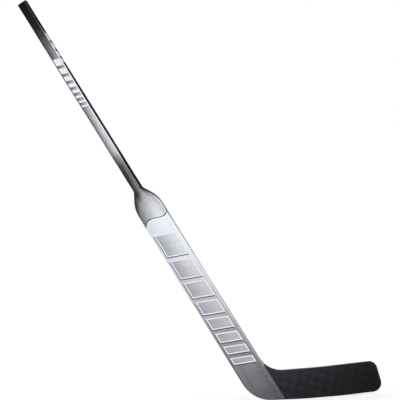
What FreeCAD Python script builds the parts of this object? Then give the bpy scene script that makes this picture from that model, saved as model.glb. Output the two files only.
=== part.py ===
"""Ice hockey goalkeeper's stick: hollow shaft, foam-cored paddle, curved foam-cored blade.

Row frame: +X runs along the blade to the toe, +Y from the front face to the back, +Z up from
the ice. The origin is the middle of the sole's flat, on the ice. Stick frame: u runs across the
paddle towards the toe side, v up the stick from the heel. Millimetres and degrees throughout.
"""

import FreeCAD
import Part
import math
import os
from FreeCAD import Placement, Rotation, Vector

# The stick as a whole
LIE_ANGLE = 65.0        # between the shaft and the ice
THICKNESS = 20.4        # shaft, paddle and heel, front face to back face
EDGE_RADIUS = 4.5       # rounding along the long edges
BOND_GAP = 0.1          # glue line where one piece slides into another

# Shaft
SHAFT_LENGTH = 690.0    # neck to butt end, about 27 in
SHAFT_WIDTH = 30.0
SHAFT_WALL = 2.2

# Butt end plug
PLUG_FLANGE = 4.0       # height of the cap that closes the tube
PLUG_EDGE = 0.8         # bevel round the cap's top
PLUG_SPIGOT = 32.0      # length inside the tube
PLUG_WALL = 2.0
PLUG_LEAD = 1.0         # chamfer that leads the spigot in

# Paddle and shoulder
PADDLE_LENGTH = 686.0   # heel to shoulder, 27 in
PADDLE_WIDTH = 84.0
FLARE_ANGLE = 30.0      # shoulder line against the stick's axis
NECK_RADIUS = 14.0
SHOULDER_RADIUS = 90.0
SKIN = 2.2              # laminate on the front and the back
RAIL_WIDTH = 6.0        # edge rails, and the band round the blade

# Spine, the box stringer that joins the shaft to the paddle
SPINE_WALL = 1.6
SPINE_TENON = 80.0      # length inside the shaft tube
SPINE_SOCKET = 30.0     # depth in the heel block
HEEL_BLOCK_TOP = 150.0  # from the heel, along the stick

# Blade outline
HEEL_REACH = 209.0      # sole's middle to the heel corner
TOE_REACH = 175.0       # sole's middle to the toe corner
SOLE_FLAT = 100.0
ROCKER_ANGLE = 2.8      # rise of the sole towards heel and toe
ROCKER_RADIUS = 1000.0
HEEL_RADIUS = 95.0
BLADE_HEIGHT = 88.0     # over the sole's middle
TOP_RISE = 2.4          # slope of the top edge, up towards the toe
TOP_FALL = 1.0          # slope of the top edge, down from the throat
TOP_RADIUS = 1500.0     # where the two slopes meet
TOE_LEAN = 9.0          # toe edge against the vertical
TOE_SOLE_RADIUS = 27.5
TOE_TOP_RADIUS = 22.5
THROAT_RADIUS = 74.0

# Blade build
JOINT_OFFSET = 3.0      # blade joint, outside the line of the paddle's edge
CURVE_LEAD = 12.0       # flat stretch between the joint's foot and the curve
CURVE_DEPTH = 22.0      # how far the front face comes forward at the toe
TOE_THICKNESS = 10.4
SPAR_HEIGHT = 12.0
SPAR_LEVEL = 45.0       # middle of the spar above the ice
SPAR_TENON = 45.0       # length inside the heel block

FAR = 2500.0            # beyond the stick in every direction


# Places that follow from the sizes
HALF_PADDLE = PADDLE_WIDTH / 2
HALF_SHAFT = SHAFT_WIDTH / 2
HALF_THICKNESS = THICKNESS / 2
UP_STICK = Vector(-math.cos(math.radians(LIE_ANGLE)), 0, math.sin(math.radians(LIE_ANGLE)))
ACROSS = Vector(math.sin(math.radians(LIE_ANGLE)), 0, math.cos(math.radians(LIE_ANGLE)))
HEEL_POINT = Vector(-HEEL_REACH, 0, 0)
STICK = Placement(HEEL_POINT + ACROSS * HALF_PADDLE, Rotation(Vector(0, 1, 0), LIE_ANGLE - 90))

FLARE_RISE = (HALF_PADDLE - HALF_SHAFT) / math.tan(math.radians(FLARE_ANGLE))
NECK_V = PADDLE_LENGTH + FLARE_RISE
NECK_TOP_V = NECK_V + NECK_RADIUS * math.tan(math.radians(FLARE_ANGLE / 2))
BUTT_V = NECK_V + SHAFT_LENGTH
TUBE_TOP_V = BUTT_V - PLUG_FLANGE

JOINT_U = HALF_PADDLE + JOINT_OFFSET
JOINT_FOOT_X = -HEEL_REACH + (JOINT_U + HALF_PADDLE) / math.sin(math.radians(LIE_ANGLE))
CURVE_START_X = JOINT_FOOT_X + CURVE_LEAD

BORE_WIDTH = SHAFT_WIDTH - 2 * SHAFT_WALL
BORE_THICKNESS = THICKNESS - 2 * SHAFT_WALL
BORE_RADIUS = max(EDGE_RADIUS - SHAFT_WALL, BOND_GAP)
SPINE_WIDTH = BORE_WIDTH - 2 * BOND_GAP
SPINE_THICKNESS = min(BORE_THICKNESS, THICKNESS - 2 * SKIN) - 2 * BOND_GAP
SPINE_FOOT_V = HEEL_BLOCK_TOP - SPINE_SOCKET


def on_stick(u, v):
    """Point of the stick's middle plane, in the row frame."""
    return STICK.multVec(Vector(u, 0, v))


def heading(angle):
    """Unit vector in the middle plane, at an angle above +X."""
    return Vector(math.cos(math.radians(angle)), 0, math.sin(math.radians(angle)))


def meet(point, direction, other, other_direction):
    """Where two lines of the middle plane cross."""
    gap = other - point
    turn = direction.x * other_direction.z - direction.z * other_direction.x
    along = (gap.x * other_direction.z - gap.z * other_direction.x) / turn
    return point + direction * along


def rounded_outline(corners):
    """Closed wire through (point, radius) corners, each rounded by a tangent arc."""
    joints = []
    for i, (point, radius) in enumerate(corners):
        back = (corners[i - 1][0] - point).normalize()
        ahead = (corners[(i + 1) % len(corners)][0] - point).normalize()
        if radius == 0:
            joints.append((point, None, point))
            continue
        half_angle = back.getAngle(ahead) / 2
        reach = radius / math.tan(half_angle)
        to_centre = (back + ahead).normalize()
        middle = point + to_centre * (radius / math.sin(half_angle) - radius)
        joints.append((point + back * reach, middle, point + ahead * reach))
    edges = []
    for i, (start, middle, end) in enumerate(joints):
        if middle is not None:
            edges.append(Part.Arc(start, middle, end).toShape())
        edges.append(Part.LineSegment(end, joints[(i + 1) % len(joints)][0]).toShape())
    return Part.Wire(edges)


def rounded_section(width, thickness, radius):
    """Wire of a rounded rectangle across the stick, at the stick frame's v = 0."""
    signs = ((-1, -1), (1, -1), (1, 1), (-1, 1))
    corners = [(Vector(a * width / 2, 0, b * thickness / 2), radius) for a, b in signs]
    wire = rounded_outline(corners)
    wire.rotate(Vector(0, 0, 0), Vector(1, 0, 0), 90)
    return wire


def bar(width, thickness, radius, low_v, high_v):
    """Rounded bar along the stick's axis, in the stick frame."""
    section = Part.Face(rounded_section(width, thickness, radius))
    section.translate(Vector(0, 0, low_v))
    return section.extrude(Vector(0, 0, high_v - low_v))


def in_row_frame(solid):
    """A stick-frame solid, moved to its place on the stick."""
    placed = solid.copy()
    placed.Placement = STICK.multiply(placed.Placement)
    return placed


def stick_block(low_u, high_u, low_v, high_v):
    """Block of the stick frame that runs right through from front to back, in the row frame."""
    block = Part.makeBox(high_u - low_u, 2 * FAR, high_v - low_v, Vector(low_u, -FAR, low_v))
    return in_row_frame(block)


def through(wire):
    """Solid that a closed outline cuts right through from front to back."""
    face = Part.Face(wire)
    face.translate(Vector(0, -FAR, 0))
    return face.extrude(Vector(0, 2 * FAR, 0))


def outline_corners():
    """Corners of the paddle, heel and blade, with the shaft's stub on top, and their radii."""
    stub_v = NECK_TOP_V + SHAFT_WIDTH
    sole_heel = Vector(-SOLE_FLAT / 2, 0, 0)
    sole_toe = Vector(SOLE_FLAT / 2, 0, 0)
    heel = meet(HEEL_POINT, UP_STICK, sole_heel, heading(180 - ROCKER_ANGLE))
    toe_line = heading(90 + TOE_LEAN)
    toe_sole = meet(Vector(TOE_REACH, 0, 0), toe_line, sole_toe, heading(ROCKER_ANGLE))
    over_sole = Vector(0, 0, BLADE_HEIGHT)
    toe_top = meet(Vector(TOE_REACH, 0, 0), toe_line, over_sole, heading(TOP_RISE))
    throat = meet(on_stick(HALF_PADDLE, 0), UP_STICK, over_sole, heading(180 - TOP_FALL))
    return [
        (on_stick(-HALF_SHAFT, stub_v), 0),
        (on_stick(-HALF_SHAFT, NECK_V), NECK_RADIUS),
        (on_stick(-HALF_PADDLE, PADDLE_LENGTH), SHOULDER_RADIUS),
        (heel, HEEL_RADIUS),
        (sole_heel, ROCKER_RADIUS),
        (sole_toe, ROCKER_RADIUS),
        (toe_sole, TOE_SOLE_RADIUS),
        (toe_top, TOE_TOP_RADIUS),
        (over_sole, TOP_RADIUS),
        (throat, THROAT_RADIUS),
        (on_stick(HALF_PADDLE, PADDLE_LENGTH), SHOULDER_RADIUS),
        (on_stick(HALF_SHAFT, NECK_V), NECK_RADIUS),
        (on_stick(HALF_SHAFT, stub_v), 0),
    ]


def curve_radius(depth):
    """Radius of an arc that leaves the flat at the curve's start and is depth forward at the toe."""
    run = TOE_REACH - CURVE_START_X
    return (run ** 2 + depth ** 2) / (2 * depth)


def face_edges(y, radius):
    """Plan of one layer's face: flat along the paddle, then an arc that comes forward to the toe."""
    past_toe = TOE_REACH + THICKNESS
    turn = math.asin((past_toe - CURVE_START_X) / radius)
    start = Vector(CURVE_START_X, y, -FAR)
    centre = start - Vector(0, radius, 0)
    middle = centre + Vector(math.sin(turn / 2), math.cos(turn / 2), 0) * radius
    end = centre + Vector(math.sin(turn), math.cos(turn), 0) * radius
    flat = Part.LineSegment(Vector(-FAR, y, -FAR), start).toShape()
    return flat, Part.Arc(start, middle, end).toShape()


def in_front_of(y, radius):
    """Everything in front of a layer's face."""
    flat, arc = face_edges(y, radius)
    tail = flat.Vertexes[0].Point
    end = arc.Vertexes[1].Point
    far_end = Vector(end.x, -FAR, end.z)
    far_tail = Vector(tail.x, -FAR, tail.z)
    close = [Part.LineSegment(end, far_end), Part.LineSegment(far_end, far_tail),
             Part.LineSegment(far_tail, tail)]
    plan = Part.Wire([flat, arc] + [side.toShape() for side in close])
    return Part.Face(plan).extrude(Vector(0, 0, 2 * FAR))


def long_edges(body):
    """Edges between a broad face and a side wall; the cut across the stub is left out."""
    found = []
    for edge in body.Edges:
        normals = []
        for face in body.ancestorsOfType(edge, Part.Face):
            low_u, high_u, low_v, high_v = face.ParameterRange
            normals.append(face.normalAt((low_u + high_u) / 2, (low_v + high_v) / 2))
        broad = [n for n in normals if abs(n.y) > 0.5]
        walls = [n for n in normals if abs(n.y) < 0.5 and n.dot(UP_STICK) < 0.999]
        if len(broad) == 1 and len(walls) == 1:
            found.append(edge)
    return found


FRONT_RADIUS = curve_radius(CURVE_DEPTH)
BACK_RADIUS = curve_radius(CURVE_DEPTH + THICKNESS - TOE_THICKNESS)
OUTLINE = rounded_outline(outline_corners())
AHEAD_OF_FRONT = in_front_of(-HALF_THICKNESS, FRONT_RADIUS)
AHEAD_OF_CORE = in_front_of(-HALF_THICKNESS + SKIN, FRONT_RADIUS + SKIN)
AHEAD_OF_BACK_SKIN = in_front_of(HALF_THICKNESS - SKIN, BACK_RADIUS - SKIN)
AHEAD_OF_BACK = in_front_of(HALF_THICKNESS, BACK_RADIUS)
PADDLE_SIDE = stick_block(-FAR, JOINT_U, -FAR, FAR)
BLADE_SIDE = stick_block(JOINT_U, FAR, -FAR, FAR)


def lower_body():
    """Paddle, heel and blade in one, with their long edges rounded and the stub cut off."""
    body = through(OUTLINE).common(AHEAD_OF_BACK).cut(AHEAD_OF_FRONT)
    radius = min(EDGE_RADIUS, 0.45 * TOE_THICKNESS)
    body = body.Solids[0].makeFillet(radius, long_edges(body.Solids[0]))
    return body.common(stick_block(-FAR, FAR, -FAR, NECK_TOP_V))


BODY = lower_body()
MIDDLE = BODY.common(AHEAD_OF_BACK_SKIN).cut(AHEAD_OF_CORE)
CORE_SPACE = through(OUTLINE.makeOffset2D(-RAIL_WIDTH))
RIM = MIDDLE.cut(CORE_SPACE)
FILLING = MIDDLE.common(CORE_SPACE)
SPINE_SLOT = stick_block(-SPINE_WIDTH / 2 - BOND_GAP, SPINE_WIDTH / 2 + BOND_GAP, SPINE_FOOT_V, FAR)


def in_order(shape, direction):
    """The solids of a shape, sorted along a direction."""
    return sorted(shape.Solids, key=lambda solid: solid.CenterOfMass.dot(direction))


def spar_strip(clearance):
    """Level strip that holds the spar, from its tenon's end to beyond the toe."""
    joint = meet(on_stick(JOINT_U, 0), UP_STICK, Vector(0, 0, SPAR_LEVEL), heading(0))
    low_x = joint.x - SPAR_TENON - clearance
    low_z = SPAR_LEVEL - SPAR_HEIGHT / 2 - clearance
    return Part.makeBox(FAR, 2 * FAR, SPAR_HEIGHT + 2 * clearance, Vector(low_x, -FAR, low_z))


def butt_end_plug():
    """Cap with a hollow spigot that slides into the tube."""
    cap = bar(SHAFT_WIDTH, THICKNESS, EDGE_RADIUS, TUBE_TOP_V, BUTT_V)
    rim = [edge for edge in cap.Edges if edge.BoundBox.ZMin > BUTT_V - PLUG_FLANGE / 2]
    cap = cap.makeChamfer(PLUG_EDGE, rim)
    foot_v = TUBE_TOP_V - PLUG_SPIGOT
    width = BORE_WIDTH - 2 * BOND_GAP
    thickness = BORE_THICKNESS - 2 * BOND_GAP
    spigot = bar(width, thickness, BORE_RADIUS, foot_v, TUBE_TOP_V)
    lead = [edge for edge in spigot.Edges if edge.BoundBox.ZMax < foot_v + PLUG_SPIGOT / 2]
    spigot = spigot.makeChamfer(PLUG_LEAD, lead)
    inside = bar(width - 2 * PLUG_WALL, thickness - 2 * PLUG_WALL, 0, foot_v, TUBE_TOP_V)
    return in_row_frame(cap.fuse(spigot.cut(inside)).removeSplitter())


def shaft_tube():
    """Rounded tube from the shoulder's top to the plug's cap."""
    outside = bar(SHAFT_WIDTH, THICKNESS, EDGE_RADIUS, NECK_TOP_V, TUBE_TOP_V)
    bore = bar(BORE_WIDTH, BORE_THICKNESS, BORE_RADIUS, NECK_TOP_V, TUBE_TOP_V)
    return in_row_frame(outside.cut(bore))


def paddle_spine():
    """Box stringer, from its foot in the heel block to the end of its tenon in the shaft."""
    head_v = NECK_TOP_V + SPINE_TENON
    outside = bar(SPINE_WIDTH, SPINE_THICKNESS, BORE_RADIUS, SPINE_FOOT_V, head_v)
    inner_width = SPINE_WIDTH - 2 * SPINE_WALL
    inner_thickness = SPINE_THICKNESS - 2 * SPINE_WALL
    inside = bar(inner_width, inner_thickness, 0, SPINE_FOOT_V, head_v)
    return in_row_frame(outside.cut(inside))


def front_skin(side):
    """Laminate on the front, on one side of the blade joint."""
    return BODY.common(AHEAD_OF_CORE).common(side)


def back_skin(side):
    """Laminate on the back, on one side of the blade joint."""
    return BODY.cut(AHEAD_OF_BACK_SKIN).common(side)


def paddle_rails():
    """Edge rails of shoulder, paddle and heel, either side of the spine."""
    return RIM.common(PADDLE_SIDE).cut(SPINE_SLOT)


def paddle_cores():
    """Foam between the spine and the rails, above the heel block."""
    above_heel = stick_block(-FAR, JOINT_U, HEEL_BLOCK_TOP, FAR)
    return FILLING.common(above_heel).cut(SPINE_SLOT)


def heel_block():
    """Block that takes the spine's foot from above and the spar's tenon from the blade's side."""
    heel = FILLING.common(stick_block(-FAR, JOINT_U, -FAR, HEEL_BLOCK_TOP))
    return heel.cut(SPINE_SLOT).cut(spar_strip(BOND_GAP))


def blade_edge_band():
    """Edge of the blade: along the top, round the toe and along the sole."""
    return RIM.common(BLADE_SIDE)


def blade_spar():
    """Stiffener between the blade's cores, with its tenon in the heel block."""
    return FILLING.common(spar_strip(0))


def blade_cores():
    """Foam above and below the spar."""
    return FILLING.common(BLADE_SIDE).cut(spar_strip(0))


def build():
    """Every piece of the stick, by its node's name."""
    heel_side_rail, toe_side_rail = in_order(paddle_rails(), ACROSS)
    heel_side_core, toe_side_core = in_order(paddle_cores(), ACROSS)
    blade_lower_core, blade_upper_core = in_order(blade_cores(), Vector(0, 0, 1))
    return {
        "butt_end_plug": butt_end_plug(),
        "shaft_tube": shaft_tube(),
        "paddle_spine": paddle_spine(),
        "paddle_front_skin": front_skin(PADDLE_SIDE),
        "paddle_back_skin": back_skin(PADDLE_SIDE),
        "heel_side_rail": heel_side_rail,
        "toe_side_rail": toe_side_rail,
        "heel_side_core": heel_side_core,
        "toe_side_core": toe_side_core,
        "heel_block": heel_block(),
        "blade_front_skin": front_skin(BLADE_SIDE),
        "blade_back_skin": back_skin(BLADE_SIDE),
        "blade_edge_band": blade_edge_band(),
        "blade_spar": blade_spar(),
        "blade_upper_core": blade_upper_core,
        "blade_lower_core": blade_lower_core,
    }


os.makedirs("parts", exist_ok=True)
for name, shape in build().items():
    shape.Solids[0].exportStep("parts/" + name + ".step")
    print(name, len(shape.Solids), round(shape.Volume), shape.isValid())
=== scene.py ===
"""Looks of a goalkeeper's hockey stick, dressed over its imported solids.

The stick's own axes are used all through: u runs across the paddle to the toe side and v runs up the
stick, both in millimetres from the foot of the paddle's middle line. Y runs from the front face to the
back. Every lacquer and print is placed on these axes, so it runs on unbroken from one node to the next.
"""

from __future__ import annotations

import logging
import math
from dataclasses import dataclass
from enum import Enum
from functools import cached_property
from typing import Callable, Dict, Iterable, List, NamedTuple, Optional, Protocol, Sequence, Tuple, Union

import bmesh
import bpy
from mathutils import Matrix, Vector


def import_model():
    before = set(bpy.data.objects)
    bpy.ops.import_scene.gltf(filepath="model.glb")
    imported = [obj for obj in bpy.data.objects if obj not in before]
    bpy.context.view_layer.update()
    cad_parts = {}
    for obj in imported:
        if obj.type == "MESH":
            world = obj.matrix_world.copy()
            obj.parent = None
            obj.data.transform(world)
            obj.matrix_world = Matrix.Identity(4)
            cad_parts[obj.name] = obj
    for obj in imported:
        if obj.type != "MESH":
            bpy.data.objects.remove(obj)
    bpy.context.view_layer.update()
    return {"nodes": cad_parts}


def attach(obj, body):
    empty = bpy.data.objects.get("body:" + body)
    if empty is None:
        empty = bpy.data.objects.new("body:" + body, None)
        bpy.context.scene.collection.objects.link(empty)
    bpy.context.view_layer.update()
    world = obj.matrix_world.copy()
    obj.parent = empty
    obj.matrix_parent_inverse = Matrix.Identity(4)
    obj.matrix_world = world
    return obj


LOG = logging.getLogger("goalkeeper_stick")

MM = 0.001
BODY = "root"
DARK_CAST = 3.2
WHITE = (1.0, 1.0, 1.0, 1.0)
BLUED = (0.84, 0.92, 1.0, 1.0)

Material = bpy.types.Material
Piece = bpy.types.Object
Socket = bpy.types.NodeSocket
Number = Union[float, "Reading"]
Pair = Tuple[float, float]
Triple = Tuple[float, float, float]
Colour = Tuple[float, float, float, float]
Paint = Union[Colour, Socket]
Stops = Tuple[Pair, ...]
Steps = Tuple[Triple, ...]
Inks = Sequence[Material]
Nodes = Dict[str, Piece]


class Face(Enum):
    """The broad faces of the stick, by the sign of Y that they look along."""

    FRONT = -1.0
    BACK = 1.0


class Blend(Enum):
    """Ways of laying one colour over another."""

    MIX = "MIX"
    MULTIPLY = "MULTIPLY"


class Element(Enum):
    """What can be picked in edit mode."""

    VERT = "VERT"
    EDGE = "EDGE"
    FACE = "FACE"


class Tint(Enum):
    """Casts of the greys, as shares of red, green and blue."""

    COOL = (0.994, 1.0, 1.024)
    ICE = (0.976, 1.0, 1.028)
    LILAC = (0.985, 0.99, 1.045)
    SNOW = (0.986, 1.0, 1.028)
    NEUTRAL = (1.0, 1.0, 1.0)
    CREAM = (1.06, 1.0, 0.84)

    def at(self, level: float) -> Colour:
        """Give the cast at a brightness. It is stronger in dark tones.

        Args:
            level: display brightness from 0 to 255.

        Returns:
            The linear colour with an alpha of one.
        """
        depth = 1.0 + DARK_CAST * (1.0 - level / 255.0) ** 3
        shares = (1.0 + (share - 1.0) * depth for share in self.value)
        red, green, blue = (linear(level * share / 255.0) for share in shares)
        return (red, green, blue, 1.0)


def linear(display: float) -> float:
    """Turn a display value from 0 to 1 into a linear one."""
    value = min(max(display, 0.0), 1.0)
    return value / 12.92 if value <= 0.04045 else ((value + 0.055) / 1.055) ** 2.4


@dataclass(frozen=True)
class StickAxes:
    """Place and lie of the stick's own axes in the row frame."""

    foot_x: float = -170.935
    foot_z: float = 17.75
    lie: float = math.radians(65.0)
    half_thickness: float = 10.2

    @property
    def across(self) -> Vector:
        """Direction of u."""
        return Vector((math.sin(self.lie), 0.0, math.cos(self.lie)))

    @property
    def along(self) -> Vector:
        """Direction of v."""
        return Vector((-math.cos(self.lie), 0.0, math.sin(self.lie)))

    @property
    def lean(self) -> float:
        """Turn about Y that lays a pattern's Z along the stick."""
        return self.lie - math.pi / 2

    def point(self, u: float, y: float, v: float) -> Vector:
        """Give a place in metres from millimetres across, to the back and up the stick."""
        foot = Vector((self.foot_x, y, self.foot_z))
        return (foot + self.across * u + self.along * v) * MM

    def turn(self, outward: Vector) -> Matrix:
        """Give the turn that takes Z to v and Y to the direction that a face looks along."""
        cross = outward.cross(self.along)
        return Matrix((cross, outward, self.along)).transposed().to_4x4()


AXES = StickAxes()


def combined(operation: str) -> Callable[[Reading, Number], Reading]:
    """Make a method that combines a reading with a number by one Math node."""
    return lambda reading, other: reading.graph.math(operation, reading, other)


class Reading:
    """A number that a material works out at each place on the surface."""

    __add__ = combined("ADD")
    __sub__ = combined("SUBTRACT")
    __mul__ = combined("MULTIPLY")
    __truediv__ = combined("DIVIDE")
    at_least = combined("MAXIMUM")
    at_most = combined("MINIMUM")
    zigzag = combined("PINGPONG")

    def __init__(self, graph: Graph, socket: Socket) -> None:
        """Hold the number's socket and the tree that it is in."""
        self.graph = graph
        self.socket = socket

    def __rsub__(self, other: float) -> Reading:
        """Take the reading away from a constant."""
        return self.graph.math("SUBTRACT", other, self)

    def root(self) -> Reading:
        """Give the square root."""
        return self.graph.math("SQRT", self)

    def over(self, low: float, high: float, to_low: float = 0.0, to_high: float = 1.0,
             smooth: bool = True) -> Reading:
        """Carry the number from one range to another, as a ramp does."""
        return Ramp(low, high, to_low, to_high, smooth).of(self)

    def curve(self, points: Stops, to_low: float, to_high: float) -> Reading:
        """Read a height off a smooth curve through listed points.

        Args:
            points: places on the curve, in the number's own unit and the height's.
            to_low: height at the bottom of the curve's chart.
            to_high: height at the top.

        Returns:
            The curve's height.
        """
        low, high = points[0][0], points[-1][0]
        made = self.graph.node("ShaderNodeFloatCurve")
        knots = made.mapping.curves[0].points
        while len(knots) < len(points):
            knots.new(0.5, 0.5)
        for knot, (at, height) in zip(knots, points):
            knot.location = ((at - low) / (high - low), (height - to_low) / (to_high - to_low))
        made.mapping.update()
        self.graph.feed(made.inputs["Value"], self.over(low, high, smooth=False))
        return Reading(self.graph, made.outputs[0]).over(0.0, 1.0, to_low, to_high, smooth=False)

    def fade(self, stops: Stops, tint: Tint) -> Socket:
        """Blend greys along a length.

        Args:
            stops: places in millimetres and display brightnesses, in rising order of place.
            tint: the cast of the greys.

        Returns:
            The colour.
        """
        low, high = stops[0][0], stops[-1][0]
        made = self.graph.node("ShaderNodeValToRGB", self.over(low, high, smooth=False))
        made.color_ramp.interpolation = "EASE"
        elements = made.color_ramp.elements
        while len(elements) < len(stops):
            elements.new(1.0)
        for element, (at, level) in zip(elements, stops):
            element.position = (at - low) / (high - low)
            element.color = tint.at(level)
        return made.outputs["Color"]


class Spot(NamedTuple):
    """A place on the stick in millimetres: across, up, and from the middle plane to the back."""

    u: Reading
    v: Reading
    y: Reading


class PaddleSpot(NamedTuple):
    """A place on the paddle in millimetres: across, up, and from the edges on the heel and toe sides."""

    u: Reading
    v: Reading
    from_heel: Reading
    from_toe: Reading


class Graph:
    """The node tree of a material or of the surround, with a short method for each kind of node."""

    def __init__(self, owner: Union[Material, bpy.types.World]) -> None:
        """Start an empty tree.

        Args:
            owner: the material or the world that the tree belongs to.
        """
        owner.use_nodes = True
        self.owner = owner
        self.tree = owner.node_tree
        self.tree.nodes.clear()

    @classmethod
    def named(cls, name: str) -> Graph:
        """Start the tree of a new material."""
        return cls(bpy.data.materials.new(name))

    @cached_property
    def place(self) -> Socket:
        """Object coordinates of the surface in metres."""
        return self.node("ShaderNodeTexCoord").outputs["Object"]

    def feed(self, socket: Socket, value: object) -> None:
        """Give an input its value.

        Args:
            socket: the input.
            value: a reading or a socket to link into it, or a constant.
        """
        source = value.socket if isinstance(value, Reading) else value
        if isinstance(source, Socket):
            self.tree.links.new(source, socket)
        else:
            socket.default_value = source

    def node(self, kind: str, *terms: object, **settings: object) -> bpy.types.Node:
        """Add a node.

        Args:
            kind: the node's type.
            terms: values of its inputs, in their order.
            settings: properties to set on it.

        Returns:
            The node.
        """
        made = self.tree.nodes.new(kind)
        for key, value in settings.items():
            setattr(made, key, value)
        for socket, term in zip(made.inputs, terms):
            self.feed(socket, term)
        return made

    def plugged(self, kind: str, **sockets: object) -> bpy.types.Node:
        """Add a node by the names of its inputs.

        Args:
            kind: the node's type.
            sockets: values of its inputs, with underscores for spaces in their names.

        Returns:
            The node.
        """
        made = self.node(kind)
        for key, value in sockets.items():
            self.feed(made.inputs[key.replace("_", " ")], value)
        return made

    def math(self, operation: str, *terms: Number) -> Reading:
        """Combine numbers with one Math node."""
        return Reading(self, self.node("ShaderNodeMath", *terms, operation=operation).outputs[0])

    def mix(self, share: Number, under: Paint, over: Paint, blend: Blend = Blend.MIX) -> Socket:
        """Lay one colour over another.

        Args:
            share: how much of the upper colour shows.
            under: the lower colour.
            over: the upper colour.
            blend: how it is laid.

        Returns:
            The mixed colour.
        """
        made = self.node("ShaderNodeMix", share, data_type="RGBA", blend_type=blend.value, clamp_factor=True)
        self.feed(made.inputs[6], under)
        self.feed(made.inputs[7], over)
        return made.outputs[2]

    def scaled(self, colour: Paint, level: Reading, share: Number = 1.0) -> Socket:
        """Multiply a colour by a number, as far as a share says."""
        grey = self.node("ShaderNodeCombineXYZ", level, level, level).outputs[0]
        return self.mix(share, colour, grey, Blend.MULTIPLY)

    def stretched(self, scale: Triple, turn: float = 0.0) -> Socket:
        """Turn the surface's coordinates about Y and then stretch them along X, Y and Z."""
        turned = (0.0, turn, 0.0)
        return self.plugged("ShaderNodeMapping", Vector=self.place, Rotation=turned, Scale=scale).outputs[0]

    def stick(self) -> Spot:
        """Give the surface's place on the stick's own axes.

        Returns:
            The place.
        """
        numbers = []
        for direction in (AXES.across, AXES.along, Vector((0.0, 1.0, 0.0))):
            made = self.node("ShaderNodeVectorMath", self.place, direction / MM, operation="DOT_PRODUCT")
            start = AXES.point(0.0, 0.0, 0.0).dot(direction) / MM
            numbers.append(Reading(self, made.outputs["Value"]) - start)
        return Spot(*numbers)

    def row(self) -> Tuple[Reading, ...]:
        """Give X, Y and Z of the surface in millimetres."""
        made = self.node("ShaderNodeSeparateXYZ", self.stretched((1.0 / MM, 1.0 / MM, 1.0 / MM)))
        return tuple(Reading(self, output) for output in made.outputs)

    def bump(self, height: Reading, strength: float, depth: float) -> Socket:
        """Turn a height into a shading normal, by its strength and its depth in metres."""
        made = self.plugged("ShaderNodeBump", Strength=strength, Distance=depth, Height=height)
        return made.outputs["Normal"]

    def seen(self) -> Reading:
        """Give one for what the camera, a reflection or a view through glass sees.

        Returns:
            One or nothing.
        """
        path = self.node("ShaderNodeLightPath").outputs
        seen = Reading(self, path["Is Camera Ray"])
        for kind in ("Is Glossy Ray", "Is Transmission Ray"):
            seen = seen.at_least(Reading(self, path[kind]))
        return seen

    def blend(self, share: Reading, first: Socket, second: Socket) -> Socket:
        """Mix two shaders by the second one's share."""
        return self.node("ShaderNodeMixShader", share, first, second).outputs[0]

    def finish(self, shader: Socket) -> None:
        """Make a shader the surface of the tree's owner."""
        kind = "World" if isinstance(self.owner, bpy.types.World) else "Material"
        self.plugged(f"ShaderNodeOutput{kind}", Surface=shader)

    def shade(self, **sockets: object) -> Material:
        """Finish the tree with a Principled shader, by the names of its inputs."""
        self.finish(self.plugged("ShaderNodeBsdfPrincipled", **sockets).outputs[0])
        return self.owner


@dataclass(frozen=True)
class Ramp:
    """A change from one level to another along a length, held at both ends. It may run downwards."""

    low: float
    high: float
    to_low: float = 0.0
    to_high: float = 1.0
    smooth: bool = True

    def of(self, length: Reading) -> Reading:
        """Read the level at a length.

        Args:
            length: the number that the ramp runs along.

        Returns:
            The level.
        """
        ends = (self.low, self.high, self.to_low, self.to_high)
        if self.low > self.high:
            ends = (self.high, self.low, self.to_high, self.to_low)
        kind = "SMOOTHSTEP" if self.smooth else "LINEAR"
        made = length.graph.node("ShaderNodeMapRange", length, *ends, interpolation_type=kind, clamp=True)
        return Reading(length.graph, made.outputs[0])


@dataclass(frozen=True)
class Strip:
    """A stretch of a length, with soft ends."""

    low: float
    high: float
    soft: float

    def of(self, length: Reading) -> Reading:
        """Give one inside the strip and nothing outside it."""
        rise = length.over(self.low - self.soft, self.low + self.soft)
        return rise * length.over(self.high + self.soft, self.high - self.soft)


@dataclass(frozen=True)
class Stairs:
    """A level that changes in soft steps along a length, each from a place to a place and to a level."""

    start: float
    steps: Steps

    def of(self, length: Reading) -> Reading:
        """Read the level at a length.

        Args:
            length: the number that the stairs run along.

        Returns:
            The level.
        """
        level: Number = self.start
        before = self.start
        for low, high, after in self.steps:
            level = length.over(low, high, 0.0, after - before) + level
            before = after
        return level


@dataclass(frozen=True)
class Patch:
    """A soft patch of a surface: its stretch one way, its stretch the other way, and its strength."""

    along: Union[Ramp, Strip]
    across: Union[Ramp, Strip]
    strength: float = 1.0

    def of(self, along: Reading, across: Reading) -> Reading:
        """Give the patch's strength at a place."""
        return self.along.of(along) * self.across.of(across) * self.strength


@dataclass(frozen=True)
class Grain:
    """A cloudy noise from nothing to one, even or drawn out after a turn about Y."""

    scale: float
    detail: float = 2.0
    stretch: Triple = (1.0, 1.0, 1.0)
    turn: float = 0.0

    def on(self, graph: Graph) -> Reading:
        """Read the noise on a surface.

        Args:
            graph: the surface's tree.

        Returns:
            The noise.
        """
        place = graph.stretched(self.stretch, self.turn)
        made = graph.plugged("ShaderNodeTexNoise", Vector=place, Scale=self.scale, Detail=self.detail)
        return Reading(graph, made.outputs["Fac"])


@dataclass(frozen=True)
class Cells:
    """Rounded cells, lowest in their middles."""

    scale: float

    def on(self, graph: Graph) -> Reading:
        """Read the height of the cells on a surface."""
        made = graph.plugged("ShaderNodeTexVoronoi", Vector=graph.place, Scale=self.scale)
        return Reading(graph, made.outputs["Distance"])


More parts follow.
